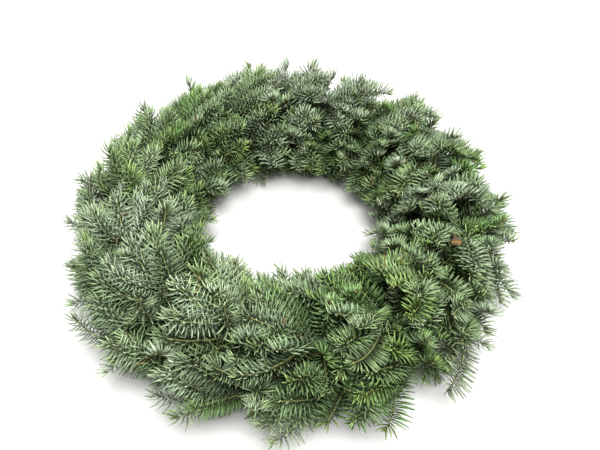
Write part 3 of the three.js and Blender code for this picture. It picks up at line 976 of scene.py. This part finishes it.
missing = add(GROW, MATH, "MAXIMUM", (read["bare"], changed["shed"]))
leafy = add(GROW, MATH, "LESS_THAN", (missing, drawn["luck"]))
inside = add(GROW, MATH, "LESS_THAN", (read["outward"], OLD_NEEDLES_WITHIN))
needles = add(GROW, "GeometryNodeJoinGeometry")
for pattern, chosen in (("Old Needle", inside), ("Needle", add(GROW, MATH, "SUBTRACT", (1, inside)))):
    shape = add(GROW, "GeometryNodeObjectInfo", None, {"Object": given[pattern]}).outputs["Geometry"]
    picked = add(GROW, MATH, "MULTIPLY", (leafy, chosen))
    put = {"Points": needle_spots, "Selection": picked, "Instance": shape}
    put |= {"Rotation": turned, "Scale": size}
    placed = add(GROW, "GeometryNodeInstanceOnPoints", None, put)
    GROW.links.new(placed.outputs["Instances"], needles.inputs["Geometry"])

section = add(GROW, "GeometryNodeCurvePrimitiveCircle", None, {"Resolution": TWIG_SIDES, "Radius": 1.0})
swelling = {"Curve": twig_lines, "Profile Curve": section, "Scale": read["thick"], "Fill Caps": True}
round_twigs = add(GROW, "GeometryNodeCurveToMesh", None, swelling)
twigs = add(GROW, "GeometryNodeSetShadeSmooth", None, (round_twigs,))

line_end = add(GROW, "GeometryNodeCurveEndpointSelection", None, {"Start Size": 0, "End Size": 1})
showing = add(GROW, MATH, "GREATER_THAN", (read["outward"], OLD_NEEDLES_WITHIN))
covered = add(GROW, MATH, "LESS_THAN", (read["bare"], BUDS_UNDER))
budding = add(GROW, MATH, "MULTIPLY", (line_end, add(GROW, MATH, "MULTIPLY", (showing, covered))))
way = {"Vector": add(GROW, "GeometryNodeInputTangent")}
facing = add(GROW, "FunctionNodeAlignRotationToVector", {"axis": "Z"}, way)
shape = add(GROW, "GeometryNodeObjectInfo", None, {"Object": given["Bud"]}).outputs["Geometry"]
put = {"Points": twig_lines, "Selection": budding, "Instance": shape, "Rotation": facing}
buds = add(GROW, "GeometryNodeInstanceOnPoints", None, put)

position = add(GROW, "GeometryNodeInputPosition")
x, y, height = add(GROW, "ShaderNodeSeparateXYZ", None, (position,)).outputs
sunk = add(GROW, MATH, "DIVIDE", (add(GROW, MATH, "SUBTRACT", (height, PRESSED)), PRESSED))
pressed = add(GROW, MATH, "MULTIPLY", (add(GROW, MATH, "EXPONENT", (sunk,)), PRESSED))
rest_at = add(GROW, "ShaderNodeCombineXYZ", None, (x, y, pressed))
sinking = add(GROW, MATH, "LESS_THAN", (height, PRESSED))
spray_made = add(GROW, "GeometryNodeJoinGeometry")
for grown, finish in ((needles, "Needle Finish"), (twigs, "Bark Finish"), (buds, "Bud Finish")):
    real = add(GROW, "GeometryNodeRealizeInstances", None, {"Geometry": grown})
    moved = {"Geometry": real, "Selection": sinking, "Position": rest_at}
    settled = add(GROW, "GeometryNodeSetPosition", None, moved)
    done = add(GROW, "GeometryNodeSetMaterial", None, {"Geometry": settled, "Material": given[finish]})
    GROW.links.new(done.outputs["Geometry"], spray_made.inputs["Geometry"])
add(GROW, "NodeGroupOutput", None, {"Spray": spray_made})
print("the tree has", len(GROW.nodes), "nodes in all")

# %% [markdown]
# ## The sprays
# A spray is one cut branch tip of the real wreath, with its stem in the binding, so it is one piece here.
# Each is grown on its own lines, with a seed of its own, and stands in for its solid of the frame.
# The tree could stay on the piece as a modifier, but a plain mesh is what every other program can read.

# %% Grow every spray
NEEDLE_SPACING = 0.83  # millimetres of twig for each needle
NEEDLE_SPREAD = 0.58  # how far round the twig the needles reach, as a share of half a turn
FIRST_SEED = 100
SEED_STEP = 10  # more than the number of things that a needle draws


def run_nodes(host, tree, values):
    """The plain mesh that a tree makes from an object, with its inputs set by their identifiers."""
    modifier = host.modifiers.new("grow", "NODES")
    modifier.node_group = tree
    for item in tree.interface.items_tree:
        if item.item_type == "SOCKET" and item.in_out == "INPUT" and item.name in values:
            modifier[item.identifier] = values[item.name]
    depsgraph = bpy.context.evaluated_depsgraph_get()
    seen = host.evaluated_get(depsgraph)
    mesh = bpy.data.meshes.new_from_object(seen, preserve_all_data_layers=True, depsgraph=depsgraph)
    host.modifiers.remove(modifier)
    return mesh


GROWN_WITH = {
    "Needle": needle, "Old Needle": old_needle, "Bud": bud,
    "Needle Finish": NEEDLE_FINISH, "Bark Finish": BARK_FINISH, "Bud Finish": BUD_FINISH,
    "Spacing": NEEDLE_SPACING * MM, "Spread": NEEDLE_SPREAD,
}
made_triangles = 0
for number, (name, spray) in enumerate(sprays.items()):
    host = new_object(name + "_lines", spray_lines(name + "_lines", spray))
    mesh = run_nodes(host, GROW, {**GROWN_WITH, "Seed": FIRST_SEED + SEED_STEP * number})
    bpy.data.objects.remove(host)
    mesh.name = name
    piece = new_object("fir_" + name, mesh)
    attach(piece, "root")
    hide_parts(name)
    made_triangles += triangles(mesh)
for pattern in (needle, old_needle, bud):
    bpy.data.objects.remove(pattern)
print("sprays:", made_triangles, "triangles")

# %% [markdown]
# ## The cut wood
# One branch has lost its leader to the secateurs. The slanted cut shows fresh wood: orange-brown, with the
# season's rings round a darker pith and a thin rim of bark.
# Each point of the face knows how far it is from the pith, so the rings follow the shoot's own oval shape.

# %% Fresh cut wood
WOOD_FIBRES = 700  # to the metre, 1.4 mm apart: about three times as coarse as in life, so that they show
WOOD_RINGS = 4  # from pith to bark, so 1.2 mm wide
RING_WOBBLE = 0.25  # how far the grain moves a ring, as a share of the radius
PITH_TO = 0.14  # of the radius
BARK_FROM = 0.93


def cut_wood():
    """Raw softwood. It gives the eye a dry, matt face with warm light and dark rings."""
    made, tree, shader = new_material("fresh_cut_fir_wood")
    share = add(tree, "ShaderNodeAttribute", {"attribute_name": "from_pith"}).outputs["Fac"]
    position = add(tree, "ShaderNodeTexCoord").outputs["Object"]
    grain = add(tree, "ShaderNodeTexNoise", None, {"Vector": position, "Scale": WOOD_FIBRES, "Detail": 3})
    wobble = add(tree, MATH, "MULTIPLY_ADD", (grain, RING_WOBBLE, share))
    rings = add(tree, MATH, "SINE", (add(tree, MATH, "MULTIPLY", (wobble, WOOD_RINGS * math.tau)),))
    late = add(tree, RANGE, None, (rings, -1.0))
    wood = add(tree, MIX, COLOURS, (late, linear("#ec9440"), linear("#ffd094")))
    pith = add(tree, MATH, "LESS_THAN", (share, PITH_TO))
    cored = add(tree, MIX, COLOURS, (pith, wood, linear("#5f381e")))
    rim = add(tree, MATH, "GREATER_THAN", (share, BARK_FROM))
    colour = add(tree, MIX, COLOURS, (rim, cored, linear("#5b4534")))
    feed(tree, shader, {"Base Color": colour, "Roughness": 0.75})
    return made


CUT_FINISH = cut_wood()
print(CUT_FINISH.name, "has", len(CUT_FINISH.node_tree.nodes), "nodes")

# %% [markdown]
# ## The cut face
# Behind the face the bark of the cut end swells a little over the stem, as it does under the blade.
# The twig that the nodes draw ends square, as every line does, and its end could be sliced off.
# A short plug of five rings is simpler, and has room for the bark. Plain mesh code does it.

# %% The cut end
CUT_RADIUS = 5
CUT_SLANT = math.radians(-44)
CUT_COLLAR = 5  # how far the bark of the cut end reaches back over the stem
CUT_FOOT = 3  # and how much further its narrower foot does
CUT_SIDES = 16
CUT_OVAL = 0.2  # of the radius
CUT_OVAL_TURN = 0.5  # radians
CUT_ROUGH = 0.08  # of the radius, in three lobes
BARK_SHARE = 1.2  # from the pith, for all that is bark
CUT_RINGS = [  # share of the radius, whether it is on the slanted face, and how far back it lies
    (0.8, 0, CUT_COLLAR + CUT_FOOT),
    (1, 0, CUT_COLLAR),
    (1, 1, 0),
    (0.55, 1, 0),
    (0.15, 1, 0),
]


def cut_face():
    """The slanted end of the pruned shoot, as a short plug that closes the stem."""
    sideways = CUT_WAY.cross(Vector((0, 0, 1))).normalized()
    upward = sideways.cross(CUT_WAY)
    points, shares = [], []
    for share, slant, back in CUT_RINGS:
        for i in range(CUT_SIDES):
            turn = math.tau * i / CUT_SIDES
            oval = 1 + CUT_OVAL * math.cos(2 * turn + CUT_OVAL_TURN) + CUT_ROUGH * math.cos(3 * turn)
            here = CUT_RADIUS * share * oval
            side = sideways * math.cos(turn) * here + upward * math.sin(turn) * here
            lean = -math.sin(turn) * here * math.tan(CUT_SLANT) * slant
            points.append(CUT_AT + side + CUT_WAY * (lean - back))
            shares.append(share if slant else BARK_SHARE)
    bottom = tuple(range(CUT_SIDES))[::-1]
    top = tuple(range(len(points) - CUT_SIDES, len(points)))
    faces = tube_faces(len(CUT_RINGS), CUT_SIDES) + [bottom, top]
    mesh = new_mesh("cut_face", points, faces=faces, origin=floor_centre)
    store(mesh, "from_pith", shares)
    mesh.materials.append(CUT_FINISH)
    return mesh


cut = new_object("fir_pruned_cut", cut_face())
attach(cut, "root")
print("the cut is", 2 * CUT_RADIUS, "mm across, at", tuple(round(c, 3) for c in cut.data.vertices[-1].co))

# %% [markdown]
# ## The wires' finish
# Both wires are steel in dark green lacquer, so that they vanish among the fir. Where a stem or the next
# turn has rubbed, the lacquer has chipped and the bare steel shows.
# So one noise does three things: past a limit it is colour and metal, and all over it is roughness.

# %% Green lacquer
WEAR_PATCHES = 260  # to the metre, about 4 mm each
CHIPPED_FROM = 0.68  # of the noise, so that only its peaks are bare


def lacquered_wire():
    """Lacquer on steel. It gives the eye a smooth dark skin with a few bright bare spots."""
    made, tree, shader = new_material("green_lacquered_steel")
    position = add(tree, "ShaderNodeTexCoord").outputs["Object"]
    wear = add(tree, "ShaderNodeTexNoise", None, {"Vector": position, "Scale": WEAR_PATCHES, "Detail": 4})
    chipped = add(tree, MATH, "GREATER_THAN", (wear, CHIPPED_FROM))
    colour = add(tree, MIX, COLOURS, (chipped, linear("#26382a"), linear("#8a8c8c")))
    rough = add(tree, RANGE, None, {"Value": wear, "To Min": 0.25, "To Max": 0.5})
    feed(tree, shader, {"Base Color": colour, "Roughness": rough, "Metallic": chipped})
    return made


LACQUER = lacquered_wire()
print(LACQUER.name, "has", len(LACQUER.node_tree.nodes), "nodes")

# %% [markdown]
# ## Ring and binding wire
# The ring is 4 mm wire, closed with a small weld. The binding wire is one long winding with a turn for each
# bunch. A curve with a bevel could make each of them, but its thickness is harder to vary along the way.
# A wire is a circle drawn along a path, which is one node, Curve to Mesh, so the two wires share a tree.

# %% The wires' tree
WIRE, wire_given = new_tree("draw_wire", {"Path": "Geometry", "Sides": "Int", "Finish": "Material"}, "Wire")
path_line = add(WIRE, "GeometryNodeMeshToCurve", None, {"Mesh": wire_given["Path"]})
circle = {"Resolution": wire_given["Sides"], "Radius": 1.0}
wire_section = add(WIRE, "GeometryNodeCurvePrimitiveCircle", None, circle)
wire_thick = add(WIRE, "GeometryNodeInputNamedAttribute", NUMBERS, {"Name": "thick"})
swelling = {"Curve": path_line, "Profile Curve": wire_section, "Scale": wire_thick, "Fill Caps": True}
wire_drawn = add(WIRE, "GeometryNodeCurveToMesh", None, swelling)
wire_smooth = add(WIRE, "GeometryNodeSetShadeSmooth", None, (wire_drawn,))
wire_real = add(WIRE, "GeometryNodeRealizeInstances", None, (wire_smooth,))
finished = {"Geometry": wire_real, "Material": wire_given["Finish"]}
wire_done = add(WIRE, "GeometryNodeSetMaterial", None, finished)
add(WIRE, "NodeGroupOutput", None, {"Wire": wire_done})


def wire_piece(node, points, radii, closed, sides):
    """Draw a wire through points in millimetres and let it stand in for its node of the frame."""
    edges = [(i, i + 1) for i in range(len(points) - 1)] + ([(len(points) - 1, 0)] if closed else [])
    mesh = new_mesh(node + "_path", points, edges=edges, origin=floor_centre)
    store(mesh, "thick", [radius * MM for radius in radii])
    host = new_object(node + "_path", mesh)
    drawn_wire = run_nodes(host, WIRE, {"Sides": sides, "Finish": LACQUER})
    bpy.data.objects.remove(host)
    drawn_wire.name = node
    piece = new_object("fine_" + node, drawn_wire)
    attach(piece, "root")
    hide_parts(node)
    print(node, "has", triangles(drawn_wire), "triangles")


print("the wires' tree has", len(WIRE.nodes), "nodes")

# %% [markdown]
# ## The ring's weld and the winding's turns
# The ring swells by a third at its weld, which is a bell-shaped rise over a few millimetres.
# The winding goes once round the stems for each bunch, and lies close on them. It starts and ends in the
# foliage, where the maker tucks in both ends.

# %% The two wires
RING_STEPS = 192
RING_SIDES = 12
WELD_LENGTH = 6  # millimetres to each side
WELD_SWELL = 0.35  # of the wire's radius
WIRE_RADIUS = 0.6
WIRE_SLACK = 0.5  # between the winding and the stems
WIRE_OFFSET = STEM_OFFSET + STEM_RADIUS + WIRE_RADIUS + WIRE_SLACK  # the winding's radius round the stems
WIRE_START = 0.32  # where the first turn begins, as a share of a bunch's length
WIRE_STEPS = 24  # points in a turn of the winding
WIRE_SIDES = 8
WIRE_TURNS = STATIONS - 1 / 8  # it stops an eighth of a turn short of its start

ring_points, ring_radii = [], []
for i in range(RING_STEPS):
    along = 2 * math.pi * RING_RADIUS * i / RING_STEPS
    from_weld = (along - math.pi * RING_RADIUS) / WELD_LENGTH
    ring_points.append(place(along, 0, RING_CENTRE.z / MM))
    ring_radii.append(RING_WIRE_RADIUS * (1 + WELD_SWELL * math.exp(-from_weld * from_weld)))
wire_piece("wire_ring", ring_points, ring_radii, True, RING_SIDES)

winding = []
for i in range(int(WIRE_TURNS * WIRE_STEPS) + 1):
    turns = i / WIRE_STEPS
    turn = 2 * math.pi * turns
    along = PITCH * (turns - WIRE_START)
    winding.append(place(along, WIRE_OFFSET * math.cos(turn), RING_HEIGHT + WIRE_OFFSET * math.sin(turn)))
wire_piece("binding_wire", winding, [WIRE_RADIUS] * len(winding), False, WIRE_SIDES)

# %% [markdown]
# ## Floor and light
# The wreath lies on a white table in soft light from above, nearly without shadows.
# A large lamp high up over the front and a bright surrounding give the same. Two lamps could do it too,
# but then each needle throws two shadows, and the foliage looks restless.

# %% Floor and light
FLOOR_HALF = 6000  # millimetres
FLOOR_DROP = 0.4 * MM  # under the lowest twigs, so that the two never flicker
LAMP_SIZE = 1.1  # metres
LAMP_POWER = 76  # watts
LAMP_AT = Vector((0.15, -0.4, 2.0))
SURROUND = 0.82  # brightness of the room all round

corners = [(x * FLOOR_HALF, y * FLOOR_HALF, 0) for x, y in ((-1, -1), (1, -1), (1, 1), (-1, 1))]
floor_mesh = new_mesh("floor", corners, faces=[(0, 1, 2, 3)])
floor = new_object("floor", floor_mesh)
floor.location.z = -FLOOR_DROP
paper, paper_tree, paper_shader = new_material("white_table")
feed(paper_tree, paper_shader, {"Base Color": linear("#c9c9c6"), "Roughness": 0.8})
floor_mesh.materials.append(paper)

lamp_data = bpy.data.lights.new("softbox", "AREA")
lamp_data.shape = "SQUARE"
lamp_data.size = LAMP_SIZE
lamp_data.energy = LAMP_POWER
lamp = bpy.data.objects.new("softbox", lamp_data)
bpy.context.scene.collection.objects.link(lamp)
lamp.matrix_world = aim_at(floor_centre, LAMP_AT)

world = bpy.data.worlds.new("studio")
bpy.context.scene.world = world
world.use_nodes = True
feed(world.node_tree, world.node_tree.nodes["Background"], {"Color": (1, 1, 1, 1), "Strength": SURROUND})
bpy.context.scene.view_settings.view_transform = "Standard"
print("lamp of %d W, %.1f m up" % (LAMP_POWER, LAMP_AT.z))
